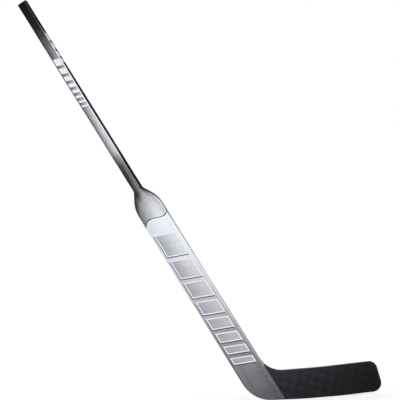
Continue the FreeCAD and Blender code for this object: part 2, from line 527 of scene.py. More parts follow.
@dataclass(frozen=True)
class Mottle:
    """A level that swings about one: its noise, the noise's spread about a half and the swing's depth."""

    grain: Grain
    spread: float
    depth: float

    def on(self, graph: Graph) -> Reading:
        """Read the level on a surface."""
        ends = (0.5 - self.spread, 0.5 + self.spread, 1.0 - self.depth, 1.0 + self.depth)
        return Ramp(*ends, smooth=False).of(self.grain.on(graph))


@dataclass(frozen=True)
class Relief:
    """A fine relief that only the shading has: its pattern, its strength and its depth in metres."""

    pattern: Union[Grain, Cells]
    strength: float
    depth: float

    def normal(self, graph: Graph) -> Socket:
        """Give the relief as a shading normal."""
        return graph.bump(self.pattern.on(graph), self.strength, self.depth)


@dataclass(frozen=True)
class LacquerGrain:
    """Streaks that run across the stick, flake, flow and gloss that all the lacquers share."""

    layers: Tuple[Mottle, ...] = (
        Mottle(Grain(130, 2, (0.05, 1.0, 1.0), AXES.lean), 0.25, 0.045),
        Mottle(Grain(1100, 2, (0.05, 1.0, 1.0), AXES.lean), 0.25, 0.05),
        Mottle(Grain(1400, 1), 0.2, 0.05),
        Mottle(Grain(240, 2), 0.2, 0.06),
    )
    flow: Relief = Relief(Grain(320, 1), 0.12, 0.00008)
    cloud: Grain = Grain(90, 3)
    gloss: Ramp = Ramp(0.3, 0.7, 0.34, 0.46)

    def over(self, colour: Socket, graph: Graph, share: Number = 1.0) -> Socket:
        """Lay the streaks and the flake over a colour.

        Args:
            colour: the colour.
            graph: the material's tree.
            share: how much of them shows.

        Returns:
            The grained colour.
        """
        level: Number = 1.0
        for layer in self.layers:
            level = layer.on(graph) * level
        return graph.scaled(colour, level, share)

    def roughness(self, graph: Graph) -> Reading:
        """Give the cloudy gloss of sprayed clear coat."""
        return self.gloss.of(self.cloud.on(graph))


@dataclass(frozen=True)
class ShaftLacquer:
    """Black at the butt, fading to silver and back to smoke above the shoulder, on black side panels."""

    fade: Stops = (
        (735, 104), (768, 89), (788, 86), (803, 102), (820, 115), (845, 148), (875, 204), (930, 206),
        (1040, 182), (1200, 157), (1240, 130), (1272, 92), (1302, 57), (1330, 34), (1370, 26.5), (1425, 20),
    )
    panel: Stops = ((740, 17), (840, 20), (890, 44), (1040, 38), (1200, 27), (1425, 18))
    toe_panel_edge: Stairs = Stairs(10.1, ((840, 880, 10.5), (1020, 1260, 12.7), (1290, 1345, 12)))
    toe_panel: Ramp = Ramp(0.35, -0.35)
    heel_panel: Ramp = Ramp(-11.8, -14.8)
    heel_widened: Strip = Strip(1260, 1322, 18)
    heel_widening: float = 3.3
    # Pale line inside the toe-side panel: white edging on the silver, and a painted highlight of the rounded
    # corner where it runs on faintly into the black top.
    edging_and_highlight: Strip = Strip(0.4, 2.4, 0.4)
    edging_and_highlight_foot: Ramp = Ramp(818, 868, 0.2, 1)
    edging_and_highlight_head: Ramp = Ramp(1352, 1190, 0.06, 1)
    edging_and_highlight_tone: Colour = Tint.COOL.at(248)
    pinstripe: Patch = Patch(Strip(742, 806, 9), Strip(2.2, 3.4, 0.2))
    pinstripe_tone: Colour = Tint.COOL.at(176)
    smoke_drift: Ramp = Ramp(752, 815, 2, -1.5)
    smoke: Ramp = Ramp(-9, 4, 0.3, 1)
    smoke_head: Ramp = Ramp(815, 838)
    silver: Ramp = Ramp(-15.5, 2.5, 0.08, 0.91, smooth=False)
    even: Ramp = Ramp(1205, 1300)
    dash_top: float = 1296.0
    dash_lengths: Tuple[float, ...] = (27.0, 21.0, 16.0, 12.0)
    dash_gap: float = 10.5
    dash_slant: float = 0.5
    dash_soft: float = 0.4
    dash_width: Strip = Strip(-9.8, 9.8, 0.3)
    dash_side: Ramp = Ramp(9, 10)
    # The dashes grey towards the back of the narrow toe face: painted shade of that face, as a lit and a
    # shaded tone of one ink.
    dash_side_painted_shade: Ramp = Ramp(-9.5, -5)
    dash_lit_and_shaded_tones: Tuple[Colour, Colour] = (Tint.ICE.at(214), Tint.ICE.at(128))
    dash_metal: Ramp = Ramp(0, 1, 1, 0.5)
    specular: float = 0.2
    edge_tint: Colour = (0.08, 0.08, 0.08, 1.0)
    grain: LacquerGrain = LacquerGrain()

    def material(self) -> Material:
        """Build the shaft's lacquer.

        Returns:
            The material.
        """
        graph = Graph.named("shaft_lacquer")
        spot = graph.stick()
        u, v, y = spot
        from_panel = self.toe_panel_edge.of(v) - u
        body = graph.scaled(v.fade(self.fade, Tint.COOL), self.shading(spot))
        body = graph.mix(self.pinstripe.of(v, u), self.grain.over(body, graph), self.pinstripe_tone)
        # Pale edging, partly a painted highlight of the toe-side corner near the black top.
        line = self.edging_and_highlight.of(from_panel) * self.edging_and_highlight_foot.of(v) * self.edging_and_highlight_head.of(v)
        body = graph.mix(line, body, self.edging_and_highlight_tone)
        heel_panel = self.heel_panel.of(u - self.heel_widened.of(v) * self.heel_widening)
        panels = self.toe_panel.of(from_panel).at_least(heel_panel)
        colour = graph.mix(panels, body, v.fade(self.panel, Tint.COOL))
        dashes = self.dashes(spot)
        # Painted shade: the dashes darken from the front corner towards the back of the narrow face.
        colour = graph.mix(dashes, colour, graph.mix(self.dash_side_painted_shade.of(y), *self.dash_lit_and_shaded_tones))
        return graph.shade(
            Base_Color=colour, Metallic=self.dash_metal.of(dashes),
            Roughness=self.grain.roughness(graph), Normal=self.grain.flow.normal(graph),
            Specular_IOR_Level=self.specular, Specular_Tint=self.edge_tint,
        )

    def shading(self, spot: Spot) -> Reading:
        """Shade the front from the heel side to the toe side, apart from the black top.

        Args:
            spot: the place on the stick.

        Returns:
            The level that the body's colour is multiplied by.
        """
        u, v, _ = spot
        smoked = self.smoke.of(u + self.smoke_drift.of(v))
        share = self.smoke_head.of(v)
        level = self.silver.of(u) * share + smoked * (1.0 - share)
        return level.at_least(self.even.of(v))

    def dashes(self, spot: Spot) -> Reading:
        """Mask the slanted dashes on the toe side, each shorter than the one above it.

        Args:
            spot: the place on the stick.

        Returns:
            One on the dashes and nothing elsewhere.
        """
        u, v, y = spot
        run = y * self.dash_slant + v
        row: Number = 0.0
        top = self.dash_top
        for length in self.dash_lengths:
            row = Strip(top - length, top, self.dash_soft).of(run) + row
            top -= length + self.dash_gap
        return row * self.dash_width.of(y) * self.dash_side.of(u)


@dataclass(frozen=True)
class PaddleLacquer:
    """Smoked silver on the shoulder, a wavy line, and an icy panel that greys towards the heel."""

    shoulder: Stops = ((622, 224), (650, 219), (668, 209), (690, 190), (710, 169), (725, 147), (742, 120))
    sweep: Ramp = Ramp(-42, 10, 0.15, 1, smooth=False)
    smoke_start: Stops = (
        (640, 2), (690, 3), (698, 8), (704, 15), (713, 16), (722, 11), (735, 6), (745, 5),
    )
    smoke_end: Stops = (
        (640, 14), (668, 14), (685, 19), (695, 23), (705, 31), (713, 32), (725, 27), (735, 21), (745, 19),
    )
    smoke_chart: Pair = (0.0, 40.0)
    smoke_share: Stops = (
        (640, 0), (655, 0.1), (665, 0.35), (675, 0.7), (685, 0.92), (694, 0.83), (702, 0.54), (707, 0.57),
        (713, 0.76), (720, 0.85), (735, 0.73), (745, 0.67),
    )
    toe_smoke: Stairs = Stairs(0.15, ((688, 695, 0.24), (701, 711, 0.58)))
    toe_smoke_shift: Stairs = Stairs(0, ((698, 711, 3.5), (718, 732, 7.5)))
    toe_smoke_reach: Ramp = Ramp(22, 8)
    haze: Patch = Patch(Strip(692, 707, 7), Strip(17, 30, 6), 0.23)
    fold: Patch = Patch(Strip(699.2, 700.8, 1.3), Strip(-22, 14, 3), 0.2)
    collar: Patch = Patch(Strip(717, 737, 4), Ramp(10, 4.5), 0.5)
    wave: Stops = (
        (-42, 617), (-37, 624), (-30, 631), (-20, 634.4), (-8, 633), (5, 629), (17, 624.3), (27, 623),
        (36, 625.4), (42, 632),
    )
    wave_chart: Pair = (600.0, 650.0)
    wave_side: Ramp = Ramp(-0.4, 0.4)
    wave_line: Strip = Strip(-1.3, 1.4, 0.5)
    wave_weight: Stairs = Stairs(1, ((-6, -16, 1.27), (-26, -36, 1.52)))
    wave_toe_weight: Ramp = Ramp(22, 32, 0, 0.45)
    wave_tone: Colour = Tint.COOL.at(84)
    under_line: Strip = Strip(-4, -1.3, 0.5)
    under_tone: Colour = Tint.ICE.at(250)
    panel: Stops = (
        (-60, 74), (0, 96), (50, 113), (110, 129), (200, 155), (320, 188), (410, 212), (480, 231),
        (550, 240), (620, 243),
    )
    icy: Ramp = Ramp(420, 600)
    casts: Tuple[Tuple[Patch, Colour], ...] = (
        (Patch(Ramp(540, 590), Strip(-33, -21, 5)), (0.945, 1.0, 1.01, 1.0)),
        (Patch(Ramp(540, 590), Strip(27, 34, 4)), (0.971, 0.96, 0.947, 1.0)),
    )
    heel_shade: Ramp = Ramp(60, 500, 1, 0.84)
    heel_shade_reach: Ramp = Ramp(-40, 25)
    streaked: Ramp = Ramp(150, 110)
    streaks: Tuple[Tuple[Strip, float], ...] = ((Strip(-23.5, -17, 4), 0.19), (Strip(21, 36, 4), 0.13))
    streak_mean: float = 0.055
    # Painted shade on the rounded rims: the heel side low down, the shoulder's toe side and the toe side by
    # the throat.
    heel_rim_painted_shade: Patch = Patch(Ramp(420, 120), Ramp(5.5, 1.5), 0.7)
    toe_rim_painted_shade: Patch = Patch(Ramp(626, 634), Ramp(5.5, 3.5), 0.22)
    throat_rim_painted_shade: Patch = Patch(Strip(87, 111, 6), Strip(2, 5.5, 1.5), 0.2)
    # Painted highlight along the toe-side rounded edge, moving out to the edge towards the throat.
    painted_edge_highlight: Strip = Strip(-1, 1, 0.6)
    painted_edge_highlight_inset: Stairs = Stairs(4.1, ((560, 240, 0.4), (114, 88, -2.4)))
    painted_edge_highlight_foot: Ramp = Ramp(88, 108, 0, 0.35)
    painted_edge_highlight_head: Ramp = Ramp(634, 622)
    painted_edge_highlight_tone: Colour = Tint.ICE.at(244)
    # Painted glint on the shoulder's toe-side rim.
    glint: Patch = Patch(Strip(646, 692, 5), Strip(-0.8, 0.8, 0.6))
    glint_inset: Ramp = Ramp(655, 690, 2.9, 4.2)
    glint_strength: Ramp = Ramp(660, 684, 0.12, 0.36)
    glint_tone: Colour = Tint.COOL.at(244)
    edge_fade: Stops = ((560, 98), (625, 93), (650, 102), (675, 76), (700, 44), (722, 24), (740, 18))
    edge_side: Ramp = Ramp(0.35, -0.35)
    toe_edge: Stairs = Stairs(6.2, ((741, 705, 3.3), (700, 662, 1.3), (606, 592, 0.9)))
    heel_edge: Stairs = Stairs(2.6, ((741, 705, 6.6), (700, 662, 1.3), (606, 592, 0.9)))
    toe_edge_share: Stops = (
        (90, 0), (160, 0.2), (280, 0.22), (390, 0.1), (440, 0.32), (490, 0.64), (560, 0.82), (640, 1),
    )
    heel_edge_share: Ramp = Ramp(380, 660)
    lap_line: Ramp = Ramp(-20, 88, 44.7, 43.5, smooth=False)
    lap_side: Ramp = Ramp(-0.3, 0.3)
    lap_head: Ramp = Ramp(85, 82)
    lap_tone: Colour = Tint.COOL.at(38)
    white_reach: Ramp = Ramp(200, 460)
    white_grain: Ramp = Ramp(0, 1, 1, 0.2)
    white_metal: Ramp = Ramp(0, 1, 0.9, 0.1)
    specular: float = 0.3
    edge_tint: Colour = (0.3, 0.3, 0.3, 1.0)
    neck_half: float = 15.0
    half_width: float = 42.0
    neck: float = 732.77
    flare: float = math.radians(30.0)
    neck_radius: float = 14.0
    shoulder_radius: float = 90.0
    grain: LacquerGrain = LacquerGrain()

    def material(self) -> Material:
        """Build the paddle's lacquer.

        Returns:
            The material.
        """
        graph = Graph.named("paddle_lacquer")
        u, v, _ = graph.stick()
        half = self.outline(v)
        spot = PaddleSpot(u, v, half + u, half - u)
        above = v - u.curve(self.wave, *self.wave_chart)
        on_shoulder = self.wave_side.of(above)
        whiteness = (1.0 - on_shoulder) * self.white_reach.of(v)
        colour = graph.mix(on_shoulder, self.panelled(spot), self.smoked(spot))
        colour = self.grain.over(colour, graph, self.white_grain.of(whiteness))
        colour = graph.mix(self.under_line.of(above), colour, self.under_tone)
        colour = self.edged(colour, spot)
        lap = self.lap_side.of(u - self.lap_line.of(v)) * self.lap_head.of(v)
        colour = graph.mix(lap, colour, self.lap_tone)
        weight = self.wave_weight.of(u) + self.wave_toe_weight.of(u)
        colour = graph.mix(self.wave_line.of(above / weight), colour, self.wave_tone)
        return graph.shade(
            Base_Color=colour, Metallic=self.white_metal.of(whiteness),
            Roughness=self.grain.roughness(graph), Normal=self.grain.flow.normal(graph),
            Specular_IOR_Level=self.specular, Specular_Tint=self.edge_tint,
        )

    def outline(self, v: Reading) -> Reading:
        """Give the half width of the stick from the neck through the flare to the paddle.

        Args:
            v: millimetres up the stick.

        Returns:
            The half width in millimetres.
        """
        slope = math.tan(self.flare)
        bend = math.tan(self.flare / 2)
        neck_start = self.neck + self.neck_radius * bend
        shoulder_end = self.neck - (self.half_width - self.neck_half) / slope - self.shoulder_radius * bend
        straight = (self.neck - v) * slope + self.neck_half
        hollow = self.neck_half + self.neck_radius - self.arc(v, neck_start, -self.neck_radius)
        crown = self.arc(v, shoulder_end, self.shoulder_radius) + (self.half_width - self.shoulder_radius)
        return crown.at_most(hollow.at_least(straight))

    def arc(self, v: Reading, start: float, radius: float) -> Reading:
        """Give the height of one of the flare's arcs over its centre.

        Args:
            v: millimetres up the stick.
            start: where the arc leaves the straight side.
            radius: its radius, negative where it runs down the stick from there.

        Returns:
            The height in millimetres.
        """
        reach = radius * math.sin(self.flare)
        run = v.over(start, start + reach, 0.0, abs(reach), smooth=False)
        return (radius * radius - run * run).root()

    def smoked(self, spot: PaddleSpot) -> Socket:
        """Shade the shoulder's silver into smoke along its edges, with a fine fold across it.

        Args:
            spot: the place on the paddle.

        Returns:
            The colour.
        """
        u, v, from_heel, from_toe = spot
        start = v.curve(self.smoke_start, *self.smoke_chart)
        end = v.curve(self.smoke_end, *self.smoke_chart)
        depth = (from_heel - start) / (end - start)
        smoke = 1.0 - v.curve(self.smoke_share, 0.0, 1.0) * depth.over(1.0, 0.0)
        dimmed = self.toe_smoke.of(v) * self.toe_smoke_reach.of(from_toe + self.toe_smoke_shift.of(v))
        dimmed = dimmed + self.haze.of(v, from_heel) + self.fold.of(v, u)
        level = smoke * self.sweep.of(u) * (1.0 - dimmed) * (1.0 - self.collar.of(v, from_toe))
        return v.graph.scaled(v.fade(self.shoulder, Tint.COOL), level)

    def panelled(self, spot: PaddleSpot) -> Socket:
        """Fade the panel from ice to the heel's grey, a shade deeper on the heel side and faintly streaked.

        Args:
            spot: the place on the paddle.

        Returns:
            The colour.
        """
        u, v, _, _ = spot
        graph = v.graph
        colour = graph.mix(self.icy.of(v), v.fade(self.panel, Tint.COOL), v.fade(self.panel, Tint.ICE))
        for patch, cast in self.casts:
            colour = graph.mix(patch.of(v, u), colour, cast, Blend.MULTIPLY)
        depth = self.heel_shade.of(v)
        level = (1.0 - depth) * self.heel_shade_reach.of(u) + depth
        streaks: Number = -self.streak_mean
        for strip, strength in self.streaks:
            streaks = strip.of(u) * strength + streaks
        return graph.scaled(colour, level * (1.0 - streaks * self.streaked.of(v)))

    def edged(self, colour: Socket, spot: PaddleSpot) -> Socket:
        """Line the edges: painted shade on the rims, a painted highlight and glint inside the toe side, then
        the shaft's side panels, which narrow to a dark line.

        Args:
            colour: the colour inside the edges.
            spot: the place on the paddle.

        Returns:
            The colour with its edges.
        """
        _, v, from_heel, from_toe = spot
        graph = v.graph
        # Painted shade darkens the rounded rims.
        rim_painted_shade = self.toe_rim_painted_shade.of(v, from_toe) + self.throat_rim_painted_shade.of(v, from_toe) + self.heel_rim_painted_shade.of(v, from_heel)
        colour = graph.scaled(colour, 1.0 - rim_painted_shade)
        # Painted highlight along the toe-side edge, then a painted glint on the shoulder's rim.
        line = self.painted_edge_highlight.of(from_toe - self.painted_edge_highlight_inset.of(v)) * self.painted_edge_highlight_foot.of(v)
        colour = graph.mix(line * self.painted_edge_highlight_head.of(v), colour, self.painted_edge_highlight_tone)
        glint = self.glint.of(v, from_toe - self.glint_inset.of(v)) * self.glint_strength.of(v)
        colour = graph.mix(glint, colour, self.glint_tone)
        dark = v.fade(self.edge_fade, Tint.COOL)
        toe_side = self.edge_side.of(from_toe - self.toe_edge.of(v)) * v.curve(self.toe_edge_share, 0.0, 1.0)
        heel_side = self.edge_side.of(from_heel - self.heel_edge.of(v)) * self.heel_edge_share.of(v)
        return graph.mix(heel_side, graph.mix(toe_side, colour, dark), dark)


@dataclass(frozen=True)
class ThroatLacquer:
    """The paddle's grey where it is carried over the tip of the throat."""

    line: Ramp = Ramp(82, 84.5)
    tone: Colour = Tint.COOL.at(122)

    def over(self, colour: Socket, v: Reading) -> Socket:
        """Lay the grey over a colour above the line."""
        return v.graph.mix(self.line.of(v), colour, self.tone)


@dataclass(frozen=True)
class SpreadTowLaminate:
    """Black laminate of wide flat tows in a plain weave that lies along the shaft."""

    tow: float = 18.6
    first_u: float = 120.7
    first_v: float = -33.1
    soft: float = 0.14
    rim: float = 0.15
    tone: Colour = Tint.COOL.at(36.5)
    contrast: float = 0.37
    mean_depth: float = 0.3
    lengthwise: Grain = Grain(900, 2, (1.0, 1.0, 0.03), AXES.lean)
    crosswise: Grain = Grain(900, 2, (0.03, 1.0, 1.0), AXES.lean)
    fibre_shade: Ramp = Ramp(0.25, 0.75, 0.75, 1.25)
    fibre_gloss: Ramp = Ramp(0.2, 0.8, 0.42, 0.58)
    gap_shade: Ramp = Ramp(0, 0.02, 0.75, 1)
    quiet_throat: Patch = Patch(Ramp(52, 82), Ramp(-25, -85), 0.75)
    quiet_toe: Strip = Strip(58, 98, 28)
    quiet_toe_share: float = 0.45
    # Painted shade darkens the blade towards the toe and painted light brightens it towards the top.
    toe_painted_shade: Ramp = Ramp(-110, 130, 1, 0.31, smooth=False)
    top_painted_light: Ramp = Ramp(25, 92, 1.06, 1.62)
    tow_relief: float = 0.75
    relief_strength: float = 0.3
    relief_depth: float = 0.00025
    specular: float = 0.1

    def material(self) -> Material:
        """Build the blade's woven laminate.

        Returns:
            The material.
        """
        graph = Graph.named("spread_tow_laminate")
        u, v, _ = graph.stick()
        x, _, z = graph.row()
        column = (u - self.first_u) / self.tow
        row = (v - self.first_v) / self.tow
        odd_column, odd_row = self.odd(column), self.odd(row)
        warp = odd_column + odd_row - odd_column * odd_row * 2.0
        fibre = self.crosswise.on(graph) * warp + self.lengthwise.on(graph) * (1.0 - warp)
        gap = self.edge(column).at_most(self.edge(row))
        quiet = self.quiet_toe.of(x) * self.quiet_toe_share + self.quiet_throat.of(z, x)
        sunk = (1.0 - warp) * gap.over(0.0, self.rim)
        check = (self.mean_depth - sunk) * ((1.0 - quiet) * self.contrast) + 1.0
        # Painted light and shade: lighter at the top, darker towards the toe.
        painted_light_and_shade = self.toe_painted_shade.of(x) * self.top_painted_light.of(z)
        level = check * painted_light_and_shade * self.fibre_shade.of(fibre) * self.gap_shade.of(gap)
        relief = gap.over(0.0, 0.5) * self.tow_relief + fibre * (1.0 - self.tow_relief)
        return graph.shade(
            Base_Color=ThroatLacquer().over(graph.scaled(self.tone, level), v),
            Roughness=self.fibre_gloss.of(fibre), Specular_IOR_Level=self.specular, Specular_Tint=BLUED,
            Normal=graph.bump(relief, self.relief_strength, self.relief_depth),
        )

    def odd(self, cells: Reading) -> Reading:
        """Give one on every second tow, with soft changes between."""
        return cells.zigzag(1.0).over(0.5 - self.soft, 0.5 + self.soft)

    def edge(self, cells: Reading) -> Reading:
        """Give the share of a tow's width to its nearer edge."""
        return (cells + 0.5).zigzag(0.5)


@dataclass(frozen=True)
class EdgeResin:
    """Black resin of the blade's edge, satin and faintly scuffed along the sole."""

    scuff: Grain = Grain(6, 5, (18.0, 120.0, 120.0))
    scuffed: Ramp = Ramp(0.52, 0.72)
    sole: Ramp = Ramp(12, 0)
    # Painted shade: the resin darkens towards the toe.
    toe_painted_shade: Ramp = Ramp(-110, 130, 1, 0.5, smooth=False)
    tone: Colour = Tint.COOL.at(23)
    worn_tone: Colour = Tint.NEUTRAL.at(44)
    gloss: Ramp = Ramp(0.3, 0.7, 0.45, 0.6)
    relief: Relief = Relief(Grain(700, 3), 0.1, 0.0001)
    specular: float = 0.1

    def material(self) -> Material:
        """Build the blade edge's resin.

        Returns:
            The material.
        """
        graph = Graph.named("edge_resin")
        _, v, _ = graph.stick()
        x, _, z = graph.row()
        scuff = self.scuff.on(graph)
        # Painted shade towards the toe.
        resin = graph.scaled(self.tone, self.toe_painted_shade.of(x))
        colour = graph.mix(self.scuffed.of(scuff) * self.sole.of(z), resin, self.worn_tone)
        return graph.shade(
            Base_Color=ThroatLacquer().over(colour, v), Roughness=self.gloss.of(scuff),
            Normal=self.relief.normal(graph), Specular_IOR_Level=self.specular, Specular_Tint=BLUED,
        )


@dataclass(frozen=True)
class PlainFinish:
    """A clouded tone with a fine relief: ink, plastic, bare laminate or foam."""

    name: str
    tint: Tint
    levels: Pair
    cloud: Grain
    gloss: Ramp
    gloss_grain: Optional[Grain] = None
    relief: Optional[Relief] = None
    specular: float = 0.5

    def material(self) -> Material:
        """Build the finish. Where it has no grain of its own for the gloss, the cloud serves.

        Returns:
            The material.
        """
        graph = Graph.named(self.name)
        cloud = self.cloud.on(graph)
        dark, light = (self.tint.at(level) for level in self.levels)
        gloss = self.gloss.of(self.gloss_grain.on(graph) if self.gloss_grain else cloud)
        more = {"Normal": self.relief.normal(graph)} if self.relief else {}
        return graph.shade(
            Base_Color=graph.mix(cloud, dark, light), Roughness=gloss, Specular_IOR_Level=self.specular,
            **more,
        )

    @classmethod
    def laminate(cls, name: str, turn: float) -> PlainFinish:
        """Set out unpainted carbon, its fibres along the piece.

        Args:
            name: the material's name.
            turn: turn about Y that lays Z along the fibres.

        Returns:
            The finish.
        """
        fibre = Grain(1100, 2, (1.0, 1.0, 0.02), turn)
        gloss = Ramp(0.2, 0.8, 0.35, 0.55)
        relief = Relief(fibre, 0.3, 0.0001)
        return cls(name, Tint.NEUTRAL, (16, 48), fibre, gloss, relief=relief, specular=0.3)

    @classmethod
    def foam(cls, name: str, levels: Pair, cell_scale: float) -> PlainFinish:
        """Set out closed-cell foam, mottled and pitted."""
        relief = Relief(Cells(cell_scale), 0.5, 0.0004)
        return cls(name, Tint.CREAM, levels, Grain(45, 3), Ramp(0.2, 0.8, 0.8, 0.95), relief=relief)


WHITE_INK = PlainFinish(
    "white_ink", Tint.SNOW, (230, 242), Grain(500, 3), Ramp(0.3, 0.7, 0.4, 0.5), specular=0.3)
SHADOW_INK = PlainFinish(
    "shadow_ink", Tint.COOL, (50, 66), Grain(400, 3), Ramp(0.3, 0.7, 0.4, 0.52), specular=0.3)
MOULDED_PLASTIC = PlainFinish(
    "moulded_plastic", Tint.COOL, (10, 17), Grain(60), Ramp(0.3, 0.7, 0.55, 0.72), Grain(2600),
    Relief(Grain(2600), 0.25, 0.00006), 0.04)


@dataclass(frozen=True)
class SilverInk:
    """The filling of the paddle's bars, deeper on the heel side."""

    deep_tone: Colour = Tint.LILAC.at(168)
    light: Stops = ((120, 176), (260, 193), (560, 221))
    reach: Ramp = Ramp(-34, 26)
    metal: float = 0.6
    specular: float = 0.3
    grain: LacquerGrain = LacquerGrain(gloss=Ramp(0.3, 0.7, 0.36, 0.46))

    def material(self) -> Material:
        """Build the ink.

        Returns:
            The material.
        """
        graph = Graph.named("silver_ink")
        u, v, _ = graph.stick()
        colour = graph.mix(self.reach.of(u), self.deep_tone, v.fade(self.light, Tint.COOL))
        return graph.shade(
            Base_Color=self.grain.over(colour, graph), Metallic=self.metal,
            Roughness=self.grain.roughness(graph), Specular_IOR_Level=self.specular,
        )


class Bench:
    """Hand tools for modelling a piece in edit mode."""

    @staticmethod
    def block(name: str, size: Vector) -> Piece:
        """Add a block at the origin.

        Args:
            name: the piece's name.
            size: its width, thickness and length in metres.

        Returns:
            The block, with its size in its mesh.
        """
        bpy.ops.object.select_all(action="DESELECT")
        bpy.ops.mesh.primitive_cube_add(size=1.0)
        piece = bpy.context.object
        piece.name = piece.data.name = name
        piece.scale = size
        bpy.ops.object.transform_apply(location=False, rotation=False, scale=True)
        return piece

    @staticmethod
    def pick(piece: Piece, kind: Element, test: Callable[[Vector, Vector], bool]) -> None:
        """Select vertices, edges or faces in edit mode by their place.

        Args:
            piece: the piece in edit mode.
            kind: what is picked.
            test: takes an element's middle and its direction, which is an edge's run or else a normal.
        """
        bpy.ops.mesh.select_mode(type=kind.value)
        bpy.ops.mesh.select_all(action="DESELECT")
        mesh = bmesh.from_edit_mesh(piece.data)
        if kind is Element.VERT:
            for vert in mesh.verts:
                vert.select_set(test(vert.co, vert.normal))
        elif kind is Element.EDGE:
            for edge in mesh.edges:
                first, second = (vert.co for vert in edge.verts)
                edge.select_set(test((first + second) / 2, (second - first).normalized()))
        else:
            for face in mesh.faces:
                face.select_set(test(face.calc_center_median(), face.normal))
        mesh.select_flush_mode()
        bmesh.update_edit_mesh(piece.data)

    @staticmethod
    def settle(piece: Piece, place: Matrix) -> None:
        """Put a piece in its place and leave its object at the origin.

        Args:
            piece: the piece.
            place: where it goes.
        """
        bpy.ops.object.select_all(action="DESELECT")
        piece.select_set(True)
        bpy.context.view_layer.objects.active = piece
        piece.matrix_world = place
        bpy.ops.object.transform_apply(location=True, rotation=True, scale=True)

    @staticmethod
    def join(pieces: Sequence[Piece], name: str) -> Piece:
        """Join pieces into the first of them.

        Args:
            pieces: the pieces.
            name: the joined piece's name.

        Returns:
            The joined piece.
        """
        bpy.ops.object.select_all(action="DESELECT")
        for piece in pieces:
            piece.select_set(True)
        bpy.context.view_layer.objects.active = pieces[0]
        bpy.ops.object.join()
        pieces[0].name = pieces[0].data.name = name
        return pieces[0]


@dataclass(frozen=True)
class PrintedBar:
    """One slanted bar of the printed design, a thin film of ink on a flat face (mm)."""

    u: float
    v: float
    width: float
    length: float
    outline: float
    slant: float = -0.4
    corner: float = 0.8
    corner_segments: int = 3
    film: float = 0.1
    hollow: float = 0.02
    sink: float = 0.03
    square_on: float = 0.9

    def film_piece(self, name: str, face: Face, lift: float, offset: Pair, inks: Inks) -> Piece:
        """Model the film: a slab with slanted ends and softened corners, outlined where it has two inks.

        Args:
            name: the piece's name.
            face: the face that it is printed on.
            lift: how far the film stands off the face in millimetres.
            offset: shift across and along the stick in millimetres.
            inks: the ink, and the filling's own ink where there is an outline.

        Returns:
            The film in its place.
        """
        thickness = lift + self.sink
        piece = Bench.block(name, Vector((self.width, thickness, self.length)) * MM)
        for ink in inks:
            piece.data.materials.append(ink)
        turn = AXES.turn(Vector((0.0, face.value, 0.0)))
        toe_end = 1.0 if turn.to_3x3().col[0].dot(AXES.across) > 0.0 else -1.0
        bpy.ops.object.mode_set(mode="EDIT")
        for end in (toe_end, -toe_end):
            Bench.pick(piece, Element.VERT, lambda place, _: place.x * end > 0.0)
            bpy.ops.transform.translate(value=(0.0, 0.0, end * toe_end * self.slant * self.width * MM / 2))
        if len(inks) > 1:
            Bench.pick(piece, Element.FACE, lambda _, normal: normal.y > self.square_on)
            bpy.ops.mesh.inset(thickness=self.outline * MM, depth=-self.hollow * MM)
            piece.active_material_index = 1
            bpy.ops.object.material_slot_assign()
        Bench.pick(piece, Element.EDGE, lambda _, run: abs(run.y) > self.square_on)
        bpy.ops.mesh.bevel(offset=self.corner * MM, segments=self.corner_segments, affect="EDGES")
        bpy.ops.object.mode_set(mode="OBJECT")
        stand = AXES.half_thickness + lift - thickness / 2
        centre = AXES.point(self.u + offset[0], face.value * stand, self.v + offset[1])
        Bench.settle(piece, Matrix.Translation(centre) @ turn)
        return piece

    def build(self, name: str, face: Face, inks: Inks, drop: Pair) -> Piece:
        """Model the bar with its outline and its drop shadow.

        Args:
            name: the piece's name.
            face: the face that it is printed on.
            inks: outline, filling and shadow inks.
            drop: shift of the shadow across and along the stick in millimetres.

        Returns:
            The bar and its shadow as one piece.
        """
        bar = self.film_piece(name, face, self.film, (0.0, 0.0), inks[:2])
        shadow = self.film_piece(name + "_shadow", face, self.film / 2, drop, inks[2:])
        return Bench.join((bar, shadow), name)


@dataclass(frozen=True)
class PrintedLadder:
    """A ladder of slanted bars, each shorter than the one above it (mm)."""

    name: str
    slot: str
    top: float
    first: float
    ratio: float
    count: int
    gap: float
    heel: float
    toe: float
    outline: float
    drop: Pair

    def bars(self) -> Iterable[PrintedBar]:
        """Set out the bars.

        Returns:
            The bars from the top down.
        """
        middle = (self.heel + self.toe) / 2
        top = self.top + PrintedBar.slant * middle
        length = self.first
        for _ in range(self.count):
            yield PrintedBar(middle, top - length / 2, self.toe - self.heel, length, self.outline)
            top -= length + self.gap
            length *= self.ratio

    def build(self, face: Face, inks: Inks) -> None:
        """Model the bars on one face as one piece that rides on the stick.

        Args:
            face: the face that they are printed on.
            inks: outline, filling and shadow inks.
        """
        name = f"{self.name}_{face.name.lower()}_print"
        made = [bar.build(f"{name}_{index}", face, inks, self.drop) for index, bar in enumerate(self.bars())]
        piece = Bench.join(made, name)
        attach(piece, BODY)
        LOG.info("%s: %d bars", name, len(made))


class Finish(Protocol):
    """Whatever can build a material of its own."""

    def material(self) -> Material:
        """Build the material."""


Finishes = Tuple[Tuple[Finish, Tuple[str, ...]], ...]


@dataclass(frozen=True)
class SubAssembly:
    """A part of the stick, by the nodes that share each finish."""

    finishes: Finishes

    def dress(self, nodes: Nodes) -> None:
        """Give the part's nodes their finishes.

        Args:
            nodes: all the CAD nodes by their names.
        """
        for finish, names in self.finishes:
            material = finish.material()
            for name in names:
                self.coat(nodes[name], material)

    @staticmethod
    def coat(node: Piece, material: Material) -> None:
        """Give every slot of a node one material.

        Args:
            node: the node's object.
            material: its finish.
        """
        if not node.material_slots:
            node.data.materials.append(material)
        for slot in node.material_slots:
            slot.material = material
        LOG.info("%s: %s", node.name, material.name)


